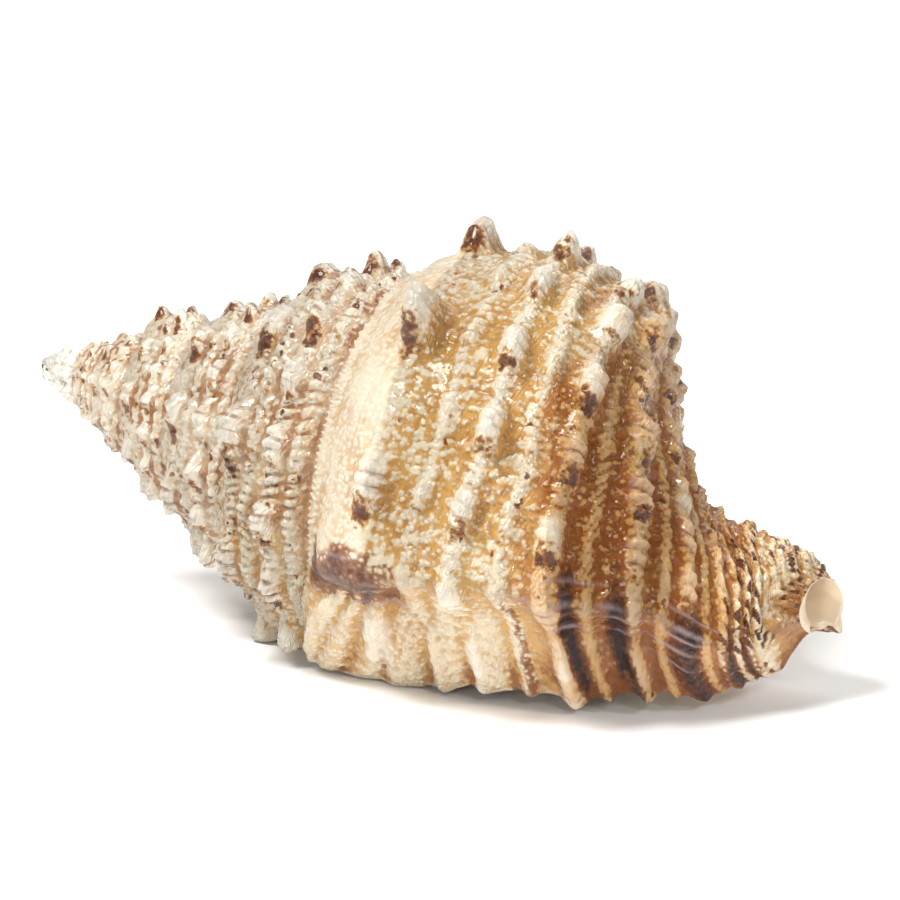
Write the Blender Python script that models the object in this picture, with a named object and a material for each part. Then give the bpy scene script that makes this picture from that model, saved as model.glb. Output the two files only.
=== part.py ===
"""Frog shell: a large right-handed sea snail shell lying on its opening.

The shell is one closed solid. Its outside is a strip that winds down a cone from the apex,
each turn joined to the one before it along the suture. The last turn also carries the base
and the canal. The opening and the canal's trough are hollowed out of it.
Lengths are millimetres until the mesh is written in metres. Places along the whorls are
counted in turns before the outer lip's edge, so the lip is at 0 and the apex near -7.
"""
import bpy
import numpy as np

TAU = 2.0 * np.pi
MM = 0.001

# ---------------------------------------------------------------- driving constants

LENGTH = 189.0      # apex to the tip of the canal
FIRST_TURN = -7.0   # where the worn tip of the spire begins
TIP_R = 8.0         # half-width of the canal at its end
LIP_AZ = 122.0      # where the lip's edge stands round the axis, degrees from the top
CANAL_AZ = 140.0    # where the canal's lip-side edge stands
CANAL_GAP = 50.0    # width of the canal's slit, degrees
PITCH = 9.0         # the axis leans this much, apex up, as the shell lies
CENTRE = 95.0       # the point of the axis the lean turns about
FLOOR_Z = -34.0     # the resting plane below that point
SOFT = 1.6          # how softly the underside flattens on to the resting plane
UNDER = 0.20        # how much the underside is drawn in, as a share of the radius
UNDER_AZ = 188.0    # where it is drawn in most

# Suture: turns before the lip, distance from the apex along the axis, radius.
SUTURE = np.array((
    (-7.36, -0.3, 1.3),
    (-6.36, 3.8, 3.6),
    (-5.36, 9.5, 5.4),
    (-4.36, 16.0, 8.2),
    (-3.36, 25.5, 12.4),
    (-2.36, 39.5, 18.6),
    (-1.36, 58.5, 27.6),
    (-0.36, 84.5, 40.3),
    (0.00, 95.0, 43.5),
    (0.64, 126.0, 49.8),
    (0.86, 145.0, 44.5),
    (1.00, 154.0, 41.5),
))
# Whorl between two sutures: place across it, how far it swells as a share of its width.
SWELL = np.array((
    (0.0, 0.0), (0.06, 0.05), (0.12, 0.10), (0.19, 0.14), (0.30, 0.155),
    (0.50, 0.15), (0.70, 0.11), (0.85, 0.065), (1.0, 0.02),
))
SHOULDER = 0.055    # how much fuller the back of the last whorl is above its base
# Base below the last whorl: share of the way to the canal's end, share of the radius left,
# at the back, at the lip and at the inner wall of the opening.
BASE_X = np.array((0.0, 0.10, 0.20, 0.30, 0.40, 0.52, 0.66, 0.80, 0.92, 1.0))
BASE_BACK = np.array((1.0, 0.91, 0.755, 0.555, 0.33, 0.14, 0.06, 0.05, 0.03, 0.0))
BASE_LIP = np.array((1.0, 0.93, 0.865, 0.80, 0.745, 0.67, 0.51, 0.365, 0.25, 0.08))
BASE_INNER = np.array((1.0, 0.66, 0.44, 0.29, 0.19, 0.11, 0.06, 0.03, 0.01, 0.0))

# Spiral rows: place across an early whorl and across the last one, then the cord's height and
# half-width, the knobs' height and half-width as on the last whorl, and the knobs' number as
# a multiple of the first row's.
ROWS = (
    (0.30, 0.36, 0.7, 2.6, 7.8, 4.0, 1),
    (0.48, 0.57, 0.9, 1.8, 1.2, 2.4, 2),
    (0.70, 0.74, 1.4, 2.3, 3.7, 3.0, 2),
    (0.86, 0.90, 0.9, 1.8, 1.0, 2.2, 2),
    (1.02, 1.06, 1.8, 2.4, 3.9, 3.0, 2),
    (1.07, 1.20, 1.0, 1.5, 0.6, 1.8, 2),
    (1.13, 1.355, 2.1, 2.3, 3.0, 2.8, 2),
    (1.20, 1.47, 1.0, 1.5, 0.8, 1.8, 3),
    (1.25, 1.57, 1.8, 2.0, 2.2, 2.4, 2),
    (1.33, 1.645, 0.9, 1.3, 0.7, 1.5, 3),
    (1.41, 1.715, 1.2, 1.5, 1.2, 1.6, 3),
    (1.50, 1.785, 0.9, 1.3, 0.8, 1.4, 3),
    (1.60, 1.85, 1.0, 1.4, 1.0, 1.4, 3),
    (1.72, 1.91, 0.9, 1.4, 1.0, 1.4, 3),
)
KNOBS = 9           # knobs round one whorl, in the first row
KNOB_AT = -0.028    # the first knob behind the lip, turns
KNOB_SLIM = 0.85    # their width across the whorl against their size
FIRST_ROW_SHARE = 0.50   # height of the spire's knobs against the last whorl's, first row
OTHER_ROW_SHARE = 1.15   # and the other rows
CALM_SHARE = 0.5         # height the base's knobs lose on the way to the lip
# Old lips left on the spire: where, and how far they stand out.
VARICES = ((-0.90, 3.2), (-1.69, 3.0), (-2.51, 3.0), (-3.33, 6.5), (-4.15, 3.0))
VARIX_WIDTH = 0.035
RIDGE_AT = -0.069   # the thick ridge behind the lip
RIDGE_LEAN = 0.024  # how much further back it stands lower down
RIDGE_HEIGHT = 4.2
LIP_DIP = 3.0       # how far the surface falls from the ridge before the lip flares
LIP_FLARE = 3.0
SCALLOP = 0.8       # how far the lip's ribs reach past its edge
EDGE_ON = 0.2       # how far the rest of the edge does
LOBE_OUT = 2.5      # how far the lip's upper corner swells outwards
LOBE_ON = 2.0       # forwards
LOBE_UP = 7.5       # and towards the apex
HEM = 8.0           # how much further forward the lip's upper part grows
ROW_LEAN = 0.095    # how far the rows lean across the visible side of the last whorl
TIP_TAPER = 0.30    # share of the radius lost where the canal's end rounds over
TIP_SLANT = 0.42    # how much longer one side of the canal's end is
SLANT_AZ = 235.0    # that side

# Opening: an oval tube that winds back inside the last whorl.
HOLE_CENTRE = (38.0, 28.5)   # past the suture along the axis, and its radius
HOLE_HALF = (30.0, 11.0)     # half-length and half-width
HOLE_TILT = -13.0
HOLE_FROM = 0.045            # where its cutter begins, turns past the lip
HOLE_DEPTH = -0.42           # where it ends
TROUGH_R = 4.4               # the canal's trough
TROUGH_FROM = 148.0
TROUGH_SIDE = 22.0           # how far off the axis it leaves the opening
SLIT_HALF = 1.9              # half-width of the slit along the canal
SLIT_WIDER = 2.2             # how much wider than that it starts
SLIT_REACH = 16.0            # how far from the trough's middle the cutter reaches out

COLUMNS = 96        # mesh columns in one turn
WHORL_ROWS = 16
BASE_ROWS = 30
HOLE_SIDES = 28     # facets round the opening's cutter
HOLE_RINGS = 34     # and along it
TROUGH_SIDES = 20
TROUGH_RINGS = 12
TRIANGLES = 8900    # of the finished solid, roughly


# ---------------------------------------------------------------- small helpers

def hermite(xs, ys, q):
    """A smooth curve through the knots that never overshoots them."""
    q = np.asarray(q, float)
    h = np.diff(xs)
    d = np.diff(ys) / h
    w1 = 2 * h[1:] + h[:-1]
    w2 = h[1:] + 2 * h[:-1]
    same = d[:-1] * d[1:] > 0
    a = np.where(same, d[:-1], 1.0)
    b = np.where(same, d[1:], 1.0)
    inner = np.where(same, (w1 + w2) / (w1 / a + w2 / b), 0.0)
    m = np.concatenate(((d[0],), inner, (d[-1],)))
    i = np.clip(np.searchsorted(xs, q) - 1, 0, len(h) - 1)
    s = (q - xs[i]) / h[i]
    start = (1 + 2 * s) * (1 - s) ** 2 * ys[i] + s * (1 - s) ** 2 * h[i] * m[i]
    end = s * s * (3 - 2 * s) * ys[i + 1] + s * s * (s - 1) * h[i] * m[i + 1]
    return start + end


def ease(x):
    x = np.clip(x, 0.0, 1.0)
    return x * x * (3.0 - 2.0 * x)


def bell(x):
    return np.exp(-x * x)


def dome(x):
    """Like a bell, with a rounder top and steeper sides."""
    return np.exp(-np.abs(x) ** 3.4)


def place(w, r, az):
    """A point at w along the axis, r from it, az degrees round from the top to the lip side."""
    a = np.radians(az)
    return np.stack((w, -r * np.sin(a), r * np.cos(a)), -1)


# ---------------------------------------------------------------- plain surface

def suture(t):
    return hermite(SUTURE[:, 0], SUTURE[:, 1], t), hermite(SUTURE[:, 0], SUTURE[:, 2], t)


def base_share(t, x):
    """Share of the radius left at x down the base: full at the lip, narrow at the inner wall."""
    back = hermite(BASE_X, BASE_BACK, x)
    lip = hermite(BASE_X, BASE_LIP, x)
    inner = hermite(BASE_X, BASE_INNER, x)
    to_lip = ease((t + 0.30) / 0.26)
    to_inner = ease((-0.62 - t) / 0.38)
    return back + (lip - back) * to_lip + (inner - back) * to_inner


def swell(t, s):
    late = 1.0 - 0.45 * ease((t + 0.2) / 0.2)
    out = hermite(SWELL[:, 0], SWELL[:, 1], s) * (0.6 + 0.4 * ease(t + 2.0)) * late
    full = ease((t + 0.62) / 0.12) * ease((-0.20 - t) / 0.14)
    return out + SHOULDER * full * ease((s - 0.40) / 0.45)


def section(t, s):
    """Axial place, radius and azimuth. s runs 0 to 1 across the whorl and 1 to 2 down the base."""
    w0, r0 = suture(t)
    w1, r1 = suture(t + 1.0)
    dw = w1 - w0
    dr = r1 - r0
    sc = np.clip(s, 0.0, 1.0)
    out = swell(t, sc)
    w = w0 + dw * sc - dr * out
    r = r0 + dr * sc + dw * out
    x = np.clip(s - 1.0, 0.0, 1.0)
    last = swell(t, np.ones(np.shape(s)))
    bw = w1 - dr * last
    br = r1 + dw * last
    w = np.where(s > 1.0, bw + (LENGTH - bw) * x, w)
    r = np.where(s > 1.0, TIP_R + (br - TIP_R) * base_share(t, x), r)
    r = r * (1.0 - TIP_TAPER * ease((x - 0.92) / 0.08))
    c = ease((x - 0.35) / 0.5)
    az = (LIP_AZ + 360.0 * t) * (1.0 - c) + (CANAL_AZ + (360.0 - CANAL_GAP) * t) * c
    w = w + TIP_SLANT * ease((x - 0.70) / 0.30) * r * np.cos(np.radians(az - SLANT_AZ))
    return w, r, az


def drawn_in(w, az):
    """Share of the radius left where the last whorls turn under the shell."""
    from_below = (az - UNDER_AZ + 180.0) % 360.0 - 180.0
    return 1.0 - UNDER * bell(from_below / 48.0) * ease((w - 38.0) / 45.0)


def plain(t, s):
    w, r, az = section(t, s)
    return place(w, r * drawn_in(w, az), az)


def frame(t, s):
    """Points of the plain surface, its normals and the direction of growth."""
    p = plain(t, s)
    along = plain(t + 1e-4, s) - plain(t - 1e-4, s)
    side = plain(t, s + 0.03) - plain(t, np.maximum(s - 0.03, 0.0))
    n = np.cross(along, side)
    n /= np.linalg.norm(n, axis=-1, keepdims=True) + 1e-12
    g = along / (np.linalg.norm(along, axis=-1, keepdims=True) + 1e-12)
    return p, n, g


# ---------------------------------------------------------------- sculpture

def across(t, s):
    """Distance across the whorl from its upper suture."""
    w0, r0 = suture(t)
    w1, r1 = suture(t + 1.0)
    whorl = np.hypot(w1 - w0, r1 - r0) * np.clip(s, 0, 1)
    return whorl + 1.15 * (LENGTH - w1) * np.clip(s - 1, 0, 1)


def row_places(t):
    """Where each spiral row runs: the rows spread as the last whorl widens."""
    whorl = ease((t + 1.05) / 0.6)
    base = ease((t + 0.46) / 0.40)
    low = 0.8 * ease((t + 0.20) / 0.12)
    high = np.clip((-0.14 - t) / 0.20, 0.0, 0.75) * ease((t + 0.75) / 0.20)
    places = []
    for row in ROWS:
        at = row[0] + (row[1] - row[0]) * (base if row[0] > 1.0 else whorl)
        share = np.clip((row[1] - 0.30) / 0.50, 0.0, 1.0)
        last = np.clip((1.45 - row[1]) / 0.30, 0.0, 1.0)
        places.append(at + ROW_LEAN * (high * share - low) * last)
    return places


def varix(t):
    return sum(high * bell((t - at) / VARIX_WIDTH) for at, high in VARICES)


def knobs_and_cords(t, s, size):
    """Height of the rows, and how far each point is up a cord."""
    a = across(t, s)
    radius = np.maximum(section(t, s)[1], 14.0 * size)
    near_lip = ease((t + 0.10) / 0.07)
    big = 1.0 + 0.2 * varix(t)
    early = 1.0 - ease((t + 1.15) / 0.5)
    calm = 1.0 - CALM_SHARE * ease((t + 0.28) / 0.10)
    height = np.zeros(np.shape(a))
    cords = np.zeros(np.shape(a))
    for k, at in enumerate(row_places(t)):
        cord_h, cord_w, knob_h, knob_w, times = ROWS[k][2:]
        phase = (t - KNOB_AT) * KNOBS * times
        nearest = np.round(phase)
        g = (phase - nearest) / (KNOBS * times) * TAU * radius
        d = (a - across(t, at)) / size
        cord = bell(d / cord_w)
        cords = np.maximum(cords, cord * (0.4 + 0.6 * min(cord_h / 1.6, 1.0)))
        uneven = 1.0 + 0.22 * np.sin(nearest * 2.4 + k * 1.7)
        length = np.where(g > 0, 1.6, 1.25) * knob_w * size
        on_spire = 1.0 + ((FIRST_ROW_SHARE if k == 0 else OTHER_ROW_SHARE) - 1.0) * early
        knob = knob_h * uneven * dome(g / length) * dome(d / (KNOB_SLIM * knob_w))
        height += cord_h * cord * (1.0 + 0.5 * near_lip)
        height += knob * (1.0 - 0.75 * near_lip) * big * on_spire * (calm if k > 3 else 1.0)
    return height, cords


def relief(t, s):
    """Height of all sculpture above the plain surface, and the share of a cord."""
    size = np.minimum(suture(t + 1.0)[1] / 47.0, 1.0)
    rows, cords = knobs_and_cords(t, s, size)
    inside = ease(s / 0.12)
    inside = np.where(t < -1.0, inside * ease((1.0 - s) / 0.10), inside)
    height = (rows + varix(t)) * size * inside
    past = t - RIDGE_AT + RIDGE_LEAN * ease(s / 0.75)
    ridge = np.where(past < 0.0, bell(past / 0.032), bell(past / 0.014))
    fade = ease((s - 0.02) / 0.15) * ease((1.7 - s) / 0.9)
    height += RIDGE_HEIGHT * ridge * fade
    dip = ease((past - 0.005) / 0.035)
    flare = np.clip((t + 0.055) / 0.055, 0, 1) ** 1.6
    fade = ease((s - 0.02) / 0.2) * ease((1.8 - s) / 0.4)
    height += (LIP_FLARE * flare - LIP_DIP * dip) * fade
    return height, cords


def flattened(p, t):
    """The underside settles on to the resting plane, all but the lip."""
    a = np.radians(PITCH)
    z = -np.sin(a) * (p[..., 0] - CENTRE) + np.cos(a) * p[..., 2]
    raised = FLOOR_Z + SOFT * np.logaddexp(0.0, (z - FLOOR_Z) / SOFT) - 0.4
    share = 1.0 - ease((t + 0.2) / 0.1)
    return p + ((raised - z) * share)[..., None] * np.array((-np.sin(a), 0.0, np.cos(a)))


def surface(t, s):
    """The shell's outside."""
    p, n, g = frame(t, s)
    height, cords = relief(t, s)
    p = p + n * height[..., None]
    edge = ease((t + 0.05) / 0.05) * ease((1.9 - s) / 0.3)
    p = p + g * (edge * (SCALLOP * cords + EDGE_ON))[..., None]
    lobe = ease((t + 0.075) / 0.06) * bell((s - 0.09) / 0.10) * ease(s / 0.04)
    p = p + lobe[..., None] * (n * LOBE_OUT + g * LOBE_ON + np.array((-LOBE_UP, 0.0, 0.0)))
    hem = ease((t + 0.04) / 0.04) * ease((0.70 - s) / 0.45) * ease(s / 0.05)
    p = p + hem[..., None] * g * HEM
    return flattened(p, t)


# ---------------------------------------------------------------- closed outside

def strip_quads(ids):
    """Quads over a grid of vertex numbers, turn by turn and row by row."""
    quads = []
    for i in range(len(ids) - 1):
        for j in range(len(ids[i]) - 1):
            if j + 1 < len(ids[i + 1]):
                quads.append((ids[i][j], ids[i][j + 1], ids[i + 1][j + 1], ids[i + 1][j]))
    return quads


def zipped(left, right):
    """Triangles between two lines of vertices that start and end side by side."""
    faces = []
    i = 0
    j = 0
    while i < len(left) - 1 or j < len(right) - 1:
        step_left = (i + 1) / (len(left) - 1)
        step_right = (j + 1) / (len(right) - 1)
        if step_left <= step_right:
            faces.append((left[i], left[i + 1], right[j]))
            i += 1
        else:
            faces.append((left[i], right[j + 1], right[j]))
            j += 1
    return [f for f in faces if len(set(f)) == 3]


def grid(first, last, rows):
    """The surface at every column from first to last, for the given places across."""
    t = np.arange(first, last + 1) / COLUMNS
    return surface(*np.meshgrid(t, rows, indexing="ij"))


def outside_grid():
    """Vertices of the strip, numbered so that each turn shares its suture with the next."""
    first = round(FIRST_TURN * COLUMNS)
    whorl = np.linspace(0.0, 1.0, WHORL_ROWS + 1)
    base = 1.0 + np.linspace(0.0, 1.0, BASE_ROWS + 1)[1:]
    columns = list(grid(first, -COLUMNS - 1, whorl))
    columns += list(grid(-COLUMNS, 0, np.concatenate((whorl, base))))
    points = []
    ids = []
    for c, column in enumerate(columns):
        line = []
        for j, p in enumerate(column):
            if j == 0 and c >= COLUMNS:
                line.append(ids[c - COLUMNS][WHORL_ROWS])
            else:
                line.append(len(points))
                points.append(p)
        ids.append(line)
    return points, ids


def fan(ids, centre, points):
    points.append(centre)
    hub = len(points) - 1
    return [(ids[i], ids[(i + 1) % len(ids)], hub) for i in range(len(ids))]


def outside():
    """The whole outside, closed at the apex, over the opening and at the canal's end."""
    points, ids = outside_grid()
    faces = strip_quads(ids)
    apex = [ids[c][0] for c in range(COLUMNS + 1)] + ids[0][WHORL_ROWS - 1:0:-1]
    faces += fan(apex, np.array((-0.4, 0.0, 0.0)), points)
    lip = ids[-1]
    wall = ids[-1 - COLUMNS][WHORL_ROWS:]
    faces += zipped(lip, wall)
    ring = [line[-1] for line in ids[-1 - COLUMNS:]]
    faces += fan(ring[::-1], np.mean([points[i] for i in ring], axis=0), points)
    return np.array(points), faces


# ---------------------------------------------------------------- cutters

def tube(sections):
    """A closed tube through rings of equal length."""
    n = len(sections[0])
    points = [p for ring in sections for p in ring]
    faces = []
    for k in range(len(sections) - 1):
        for i in range(n):
            j = (i + 1) % n
            faces.append((k * n + i, k * n + j, (k + 1) * n + j, (k + 1) * n + i))
    faces.append(tuple(range(n - 1, -1, -1)))
    faces.append(tuple((len(sections) - 1) * n + i for i in range(n)))
    return np.array(points), faces


def outward(points, faces):
    """The faces turned, if need be, to look out of the volume they close."""
    volume = 0.0
    for f in faces:
        for i in range(1, len(f) - 1):
            volume += np.dot(points[f[0]], np.cross(points[f[i]], points[f[i + 1]]))
    return faces if volume > 0 else [f[::-1] for f in faces]


def hole_rings():
    """The opening's oval, carried back round the axis and closing to a rounded end."""
    rings = []
    tilt = np.radians(HOLE_TILT)
    angle = np.linspace(0.0, TAU, HOLE_SIDES, endpoint=False)
    for t in np.linspace(HOLE_FROM, HOLE_DEPTH, HOLE_RINGS):
        back = min(t, 0.0)
        w0, r0 = suture(back)
        q = r0 / SUTURE[8, 2]
        end = np.clip((t - HOLE_DEPTH) / 0.16, 0.0, 1.0)
        narrow = max(np.sqrt(1.0 - (1.0 - end) ** 2), 0.08)
        along = HOLE_HALF[0] * q * narrow * np.cos(angle)
        wide = HOLE_HALF[1] * q * narrow * np.sin(angle)
        w = w0 + HOLE_CENTRE[0] * q + along * np.cos(tilt) - wide * np.sin(tilt)
        r = HOLE_CENTRE[1] * q + along * np.sin(tilt) + wide * np.cos(tilt)
        rings.append(place(w, r, np.full(len(w), LIP_AZ + 360.0 * t)))
    return rings


def trough_rings():
    """The canal's trough: it leaves the opening's far end and bends on to the axis."""
    rings = []
    arc = np.radians(np.linspace(35.0, 325.0, TROUGH_SIDES))
    for w in np.linspace(TROUGH_FROM, LENGTH + 6.0, TROUGH_RINGS):
        bend = ease((w - TROUGH_FROM) / 30.0)
        off = TROUGH_SIDE * (1.0 - bend)
        middle = place(w, off, LIP_AZ + 6.0)
        slit = LIP_AZ + 90.0 + (CANAL_AZ + CANAL_GAP / 2.0 - LIP_AZ - 90.0) * bend
        half = SLIT_HALF + SLIT_WIDER * (1.0 - bend)
        down = np.concatenate((TROUGH_R * np.cos(arc), (SLIT_REACH, SLIT_REACH)))
        side = np.concatenate((TROUGH_R * np.sin(arc), (-half, half)))
        az = np.degrees(np.arctan2(side, down)) + slit
        rings.append(middle + place(np.zeros(len(az)), np.hypot(side, down), az))
    return rings


# ---------------------------------------------------------------- scene objects

def to_world(p):
    """Lean the axis, and measure from the resting plane, in metres."""
    a = np.radians(PITCH)
    x = p[:, 0] - CENTRE
    wx = np.cos(a) * x + np.sin(a) * p[:, 2]
    wz = -np.sin(a) * x + np.cos(a) * p[:, 2]
    return np.stack((wx, p[:, 1], wz - FLOOR_Z), -1) * MM


def mesh_object(name, points, faces):
    mesh = bpy.data.meshes.new(name)
    mesh.from_pydata([tuple(p) for p in points], [], [tuple(int(i) for i in f) for f in faces])
    mesh.validate()
    obj = bpy.data.objects.new(name, mesh)
    bpy.context.collection.objects.link(obj)
    return obj


def shell_material():
    mat = bpy.data.materials.new("shell")
    mat.use_nodes = True
    node = mat.node_tree.nodes["Principled BSDF"]
    node.inputs["Base Color"].default_value = (0.80, 0.66, 0.44, 1.0)
    node.inputs["Roughness"].default_value = 0.35
    node.inputs["Metallic"].default_value = 0.0
    return mat


def standing(points):
    """The middle of the shell's box at its lowest point, which becomes the origin."""
    low = points.min(axis=0)
    high = points.max(axis=0)
    return np.array(((low[0] + high[0]) / 2.0, (low[1] + high[1]) / 2.0, low[2]))


def cut(target, name, rings, origin):
    points, faces = tube(rings)
    cutter = mesh_object(name, to_world(points) - origin, outward(points, faces))
    cutter.hide_render = True
    cutter.display_type = "WIRE"
    mod = target.modifiers.new(name, "BOOLEAN")
    mod.operation = "DIFFERENCE"
    mod.solver = "EXACT"
    mod.object = cutter


def build():
    for obj in list(bpy.data.objects):
        bpy.data.objects.remove(obj)
    points, faces = outside()
    world = to_world(points)
    origin = standing(world)
    shell = mesh_object("shell", world - origin, outward(world, faces))
    shell.data.materials.append(shell_material())
    shell.data.polygons.foreach_set("use_smooth", [True] * len(shell.data.polygons))
    cut(shell, "opening", hole_rings(), origin)
    cut(shell, "trough", trough_rings(), origin)
    triangles = sum(len(f) - 2 for f in faces)
    thin = shell.modifiers.new("thin", "DECIMATE")
    thin.ratio = TRIANGLES / triangles


build()
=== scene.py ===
"""Frog shell: the looks. The shell's outside is made again from the part's own rules, finely
enough to carry its beads, threads and growth wrinkles, hollowed out the same way, and given
one glossy material whose colours follow the spiral rows.

Lengths are millimetres until the mesh is written in metres. Places along the whorls are
counted in turns before the outer lip's edge: the lip is at 0 and the apex near -7.
"""
from itertools import product

import bpy
import numpy as np
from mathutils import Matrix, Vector


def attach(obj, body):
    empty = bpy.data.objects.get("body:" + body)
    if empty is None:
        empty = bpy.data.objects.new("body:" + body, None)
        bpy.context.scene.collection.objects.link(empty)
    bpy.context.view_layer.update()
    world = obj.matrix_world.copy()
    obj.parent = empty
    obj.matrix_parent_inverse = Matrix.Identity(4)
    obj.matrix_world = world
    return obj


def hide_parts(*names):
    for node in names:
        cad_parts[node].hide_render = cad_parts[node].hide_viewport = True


TAU = 2.0 * np.pi
MM = 0.001

# -------------------- driving constants

LENGTH = 189.0      # apex to the tip of the canal
FIRST_TURN = -7.0   # where the worn tip of the spire begins
TIP_R = 8.0         # half-width of the canal at its end
LIP_AZ = 122.0      # where the lip's edge stands round the axis, degrees from the top
CANAL_AZ = 140.0    # where the canal's lip-side edge stands
CANAL_GAP = 50.0    # width of the canal's slit, degrees
PITCH = 9.0         # the axis leans this much, apex up, as the shell lies
CENTRE = 95.0       # the point of the axis the lean turns about
FLOOR_Z = -34.0     # the resting plane below that point
ORIGIN = (0.418, 0.215, -0.393)
SOFT = 1.6          # how softly the underside flattens on to the resting plane
UNDER = 0.20        # how much the underside is drawn in, as a share of the radius
UNDER_AZ = 188.0    # where it is drawn in most

# Suture: turns before the lip, distance from the apex along the axis, radius.
SUTURE = np.array((
    (-7.36, -0.3, 1.3),
    (-6.36, 3.8, 3.6),
    (-5.36, 9.5, 5.4),
    (-4.36, 16.0, 8.2),
    (-3.36, 25.5, 12.4),
    (-2.36, 39.5, 18.6),
    (-1.36, 58.5, 27.6),
    (-0.36, 84.5, 40.3),
    (0.00, 95.0, 43.5),
    (0.64, 126.0, 49.8),
    (0.86, 145.0, 44.5),
    (1.00, 154.0, 41.5),
))
# Whorl between two sutures: place across it, how far it swells as a share of its width.
SWELL = np.array((
    (0.0, 0.0), (0.06, 0.05), (0.12, 0.10), (0.19, 0.14), (0.30, 0.155),
    (0.50, 0.15), (0.70, 0.11), (0.85, 0.065), (1.0, 0.02),
))
SHOULDER = 0.055    # how much fuller the back of the last whorl is above its base
# Base below the last whorl: share of the way to the canal's end, share of the radius left,
# at the back, at the lip and at the inner wall of the opening.
BASE_X = np.array((0.0, 0.10, 0.20, 0.30, 0.40, 0.52, 0.66, 0.80, 0.92, 1.0))
BASE_BACK = np.array((1.0, 0.91, 0.755, 0.555, 0.33, 0.14, 0.06, 0.05, 0.03, 0.0))
BASE_LIP = np.array((1.0, 0.93, 0.865, 0.80, 0.745, 0.67, 0.51, 0.365, 0.25, 0.08))
BASE_INNER = np.array((1.0, 0.66, 0.44, 0.29, 0.19, 0.11, 0.06, 0.03, 0.01, 0.0))

# Spiral rows: place across an early whorl and across the last one, then the cord's height and
# half-width, the knobs' height and half-width as on the last whorl, and the knobs' number as
# a multiple of the first row's.
ROWS = (
    (0.30, 0.36, 0.7, 2.6, 7.8, 4.0, 1),
    (0.48, 0.57, 0.9, 1.8, 1.2, 2.4, 2),
    (0.70, 0.74, 1.4, 2.3, 3.7, 3.0, 2),
    (0.86, 0.90, 0.9, 1.8, 1.0, 2.2, 2),
    (1.02, 1.06, 1.8, 2.4, 3.9, 3.0, 2),
    (1.07, 1.20, 1.0, 1.5, 0.6, 1.8, 2),
    (1.13, 1.355, 2.1, 2.3, 3.0, 2.8, 2),
    (1.20, 1.47, 1.0, 1.5, 0.8, 1.8, 3),
    (1.25, 1.57, 1.8, 2.0, 2.2, 2.4, 2),
    (1.33, 1.645, 0.9, 1.3, 0.7, 1.5, 3),
    (1.41, 1.715, 1.2, 1.5, 1.2, 1.6, 3),
    (1.50, 1.785, 0.9, 1.3, 0.8, 1.4, 3),
    (1.60, 1.85, 1.0, 1.4, 1.0, 1.4, 3),
    (1.72, 1.91, 0.9, 1.4, 1.0, 1.4, 3),
)
KNOBS = 9           # knobs round one whorl, in the first row
KNOB_AT = -0.028    # the first knob behind the lip, turns
KNOB_SLIM = 0.85    # their width across the whorl against their size
FIRST_ROW_SHARE = 0.50   # height of the spire's knobs against the last whorl's, first row
OTHER_ROW_SHARE = 1.15   # and the other rows
CALM_SHARE = 0.5         # height the base's knobs lose on the way to the lip
# Old lips left on the spire: where, and how far they stand out.
VARICES = ((-0.90, 3.2), (-1.69, 3.0), (-2.51, 3.0), (-3.33, 6.5), (-4.15, 3.0))
VARIX_WIDTH = 0.035
RIDGE_AT = -0.069   # the thick ridge behind the lip
RIDGE_LEAN = 0.024  # how much further back it stands lower down
RIDGE_HEIGHT = 4.2
LIP_DIP = 3.0       # how far the surface falls from the ridge before the lip flares
LIP_FLARE = 3.0
SCALLOP = 0.8       # how far the lip's ribs reach past its edge
EDGE_ON = 0.2       # how far the rest of the edge does
ROW_LEAN = 0.095    # how far the rows lean across the visible side of the last whorl
TIP_TAPER = 0.30    # share of the radius lost where the canal's end rounds over
TIP_SLANT = 0.42    # how much longer one side of the canal's end is
SLANT_AZ = 235.0    # that side

# Opening: an oval tube that winds back inside the last whorl.
HOLE_CENTRE = (38.0, 28.5)   # past the suture along the axis, and its radius
HOLE_HALF = (30.0, 11.0)     # half-length and half-width
HOLE_TILT = -13.0
HOLE_DEPTH = -0.42           # where it ends, turns
TROUGH_R = 4.4               # the canal's trough
TROUGH_FLARE = 0.8           # how much it widens at its end
TROUGH_FROM = 148.0
TROUGH_SIDE = 22.0           # how far off the axis it leaves the opening

# -------------------- small helpers

def hermite(xs, ys, q):
    """A smooth curve through the knots that never overshoots them."""
    q = np.asarray(q, float)
    h = np.diff(xs)
    d = np.diff(ys) / h
    w1 = 2 * h[1:] + h[:-1]
    w2 = h[1:] + 2 * h[:-1]
    same = d[:-1] * d[1:] > 0
    a = np.where(same, d[:-1], 1.0)
    b = np.where(same, d[1:], 1.0)
    inner = np.where(same, (w1 + w2) / (w1 / a + w2 / b), 0.0)
    m = np.concatenate(((d[0],), inner, (d[-1],)))
    i = np.clip(np.searchsorted(xs, q) - 1, 0, len(h) - 1)
    s = (q - xs[i]) / h[i]
    start = (1 + 2 * s) * (1 - s) ** 2 * ys[i] + s * (1 - s) ** 2 * h[i] * m[i]
    end = s * s * (3 - 2 * s) * ys[i + 1] + s * s * (s - 1) * h[i] * m[i + 1]
    return start + end


def ease(x):
    x = np.clip(x, 0.0, 1.0)
    return x * x * (3.0 - 2.0 * x)


def rise(x, start, width):
    """0 up to the start, then smoothly up to 1 over the width."""
    return ease((x - start) / width)


def fall(x, end, width):
    """Smoothly down from 1, over the width, to 0 at the end."""
    return ease((end - x) / width)


def bell(x):
    return np.exp(-x * x)


def dome(x):
    """Like a bell, with a rounder top and steeper sides."""
    return np.exp(-np.abs(x) ** 3.4)


def place(w, r, az):
    """A point at w along the axis, r from it, az degrees round from the top to the lip side."""
    a = np.radians(az)
    return np.stack((w, -r * np.sin(a), r * np.cos(a)), -1)


# -------------------- plain surface

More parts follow.
